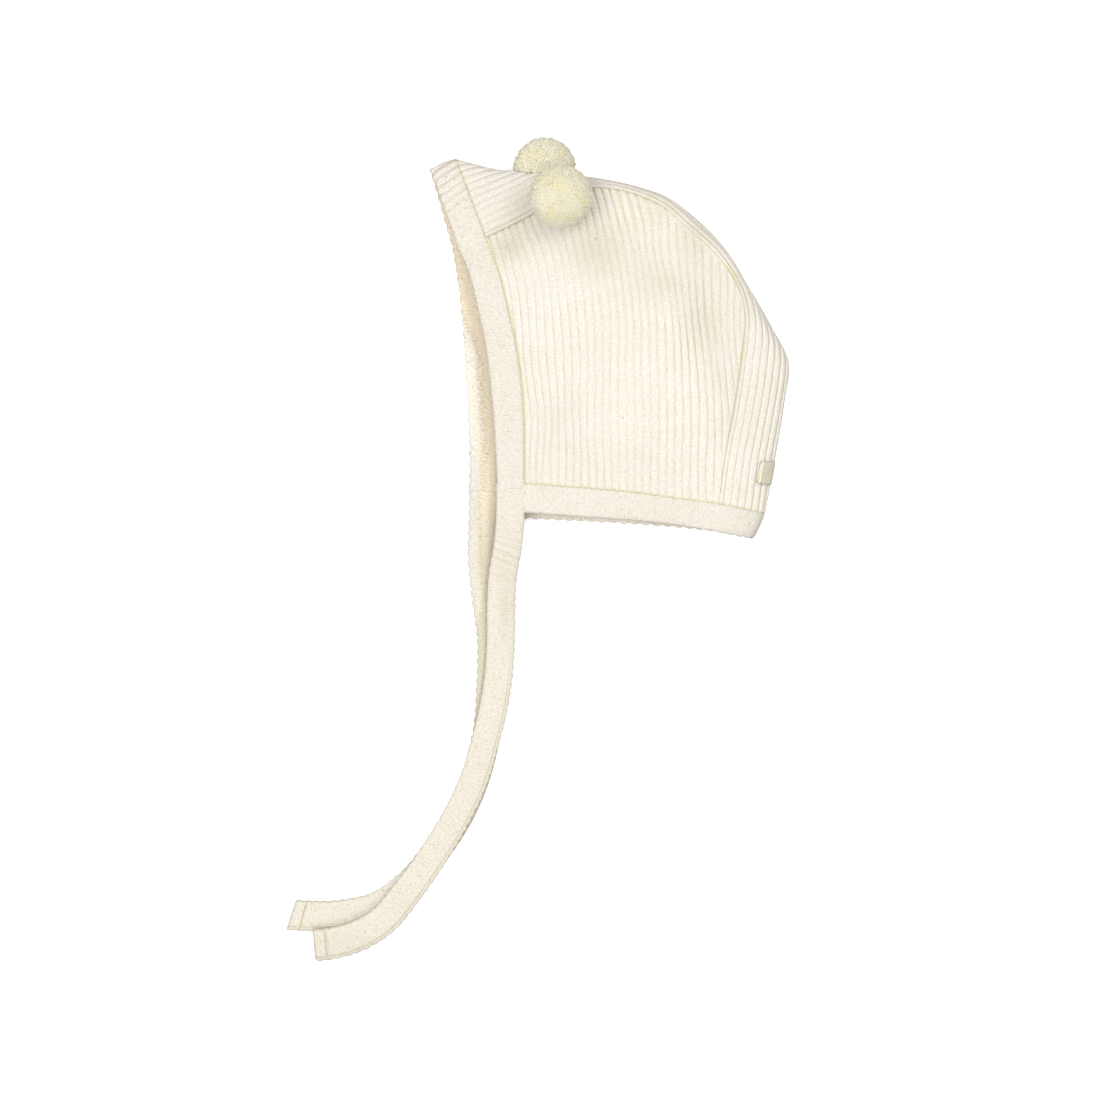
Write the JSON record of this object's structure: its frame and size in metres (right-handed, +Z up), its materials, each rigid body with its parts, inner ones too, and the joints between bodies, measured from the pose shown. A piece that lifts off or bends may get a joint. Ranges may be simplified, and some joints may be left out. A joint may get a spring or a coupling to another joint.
{
  "type": "baby bonnet",
  "caption": "Cream ribbed-knit baby bonnet with a brow peak, knit bindings, chin ties, pompoms on the crown seams and a small bare back label, lying folded on its right side.",
  "frame": {"origin": "on the flattened underside of the right side panel, below the middle of the bonnet, on the surface that it lies on", "axes": "+X from the face edge towards the back of the head, +Y from the neck towards the crown, +Z up from the right side to the left side of the bonnet"},
  "size_m": [0.2354, 0.3904, 0.0616],
  "materials": {
    "rib_knit": "matte cream rib-knit cotton",
    "binding_knit": "matte cream cross-knit band",
    "pompom_yarn": "clipped pale yellow-cream yarn",
    "label_tape": "matte beige woven tape"
  },
  "bodies": {
    "root": {"left_side_panel": "rib_knit", "right_side_panel": "rib_knit", "crown_panel": "rib_knit", "face_binding": "binding_knit", "neck_binding": "binding_knit", "left_tie": "binding_knit", "right_tie": "binding_knit", "left_pompom": "pompom_yarn", "right_pompom": "pompom_yarn", "back_label": "label_tape"}
  },
  "joints": []
}
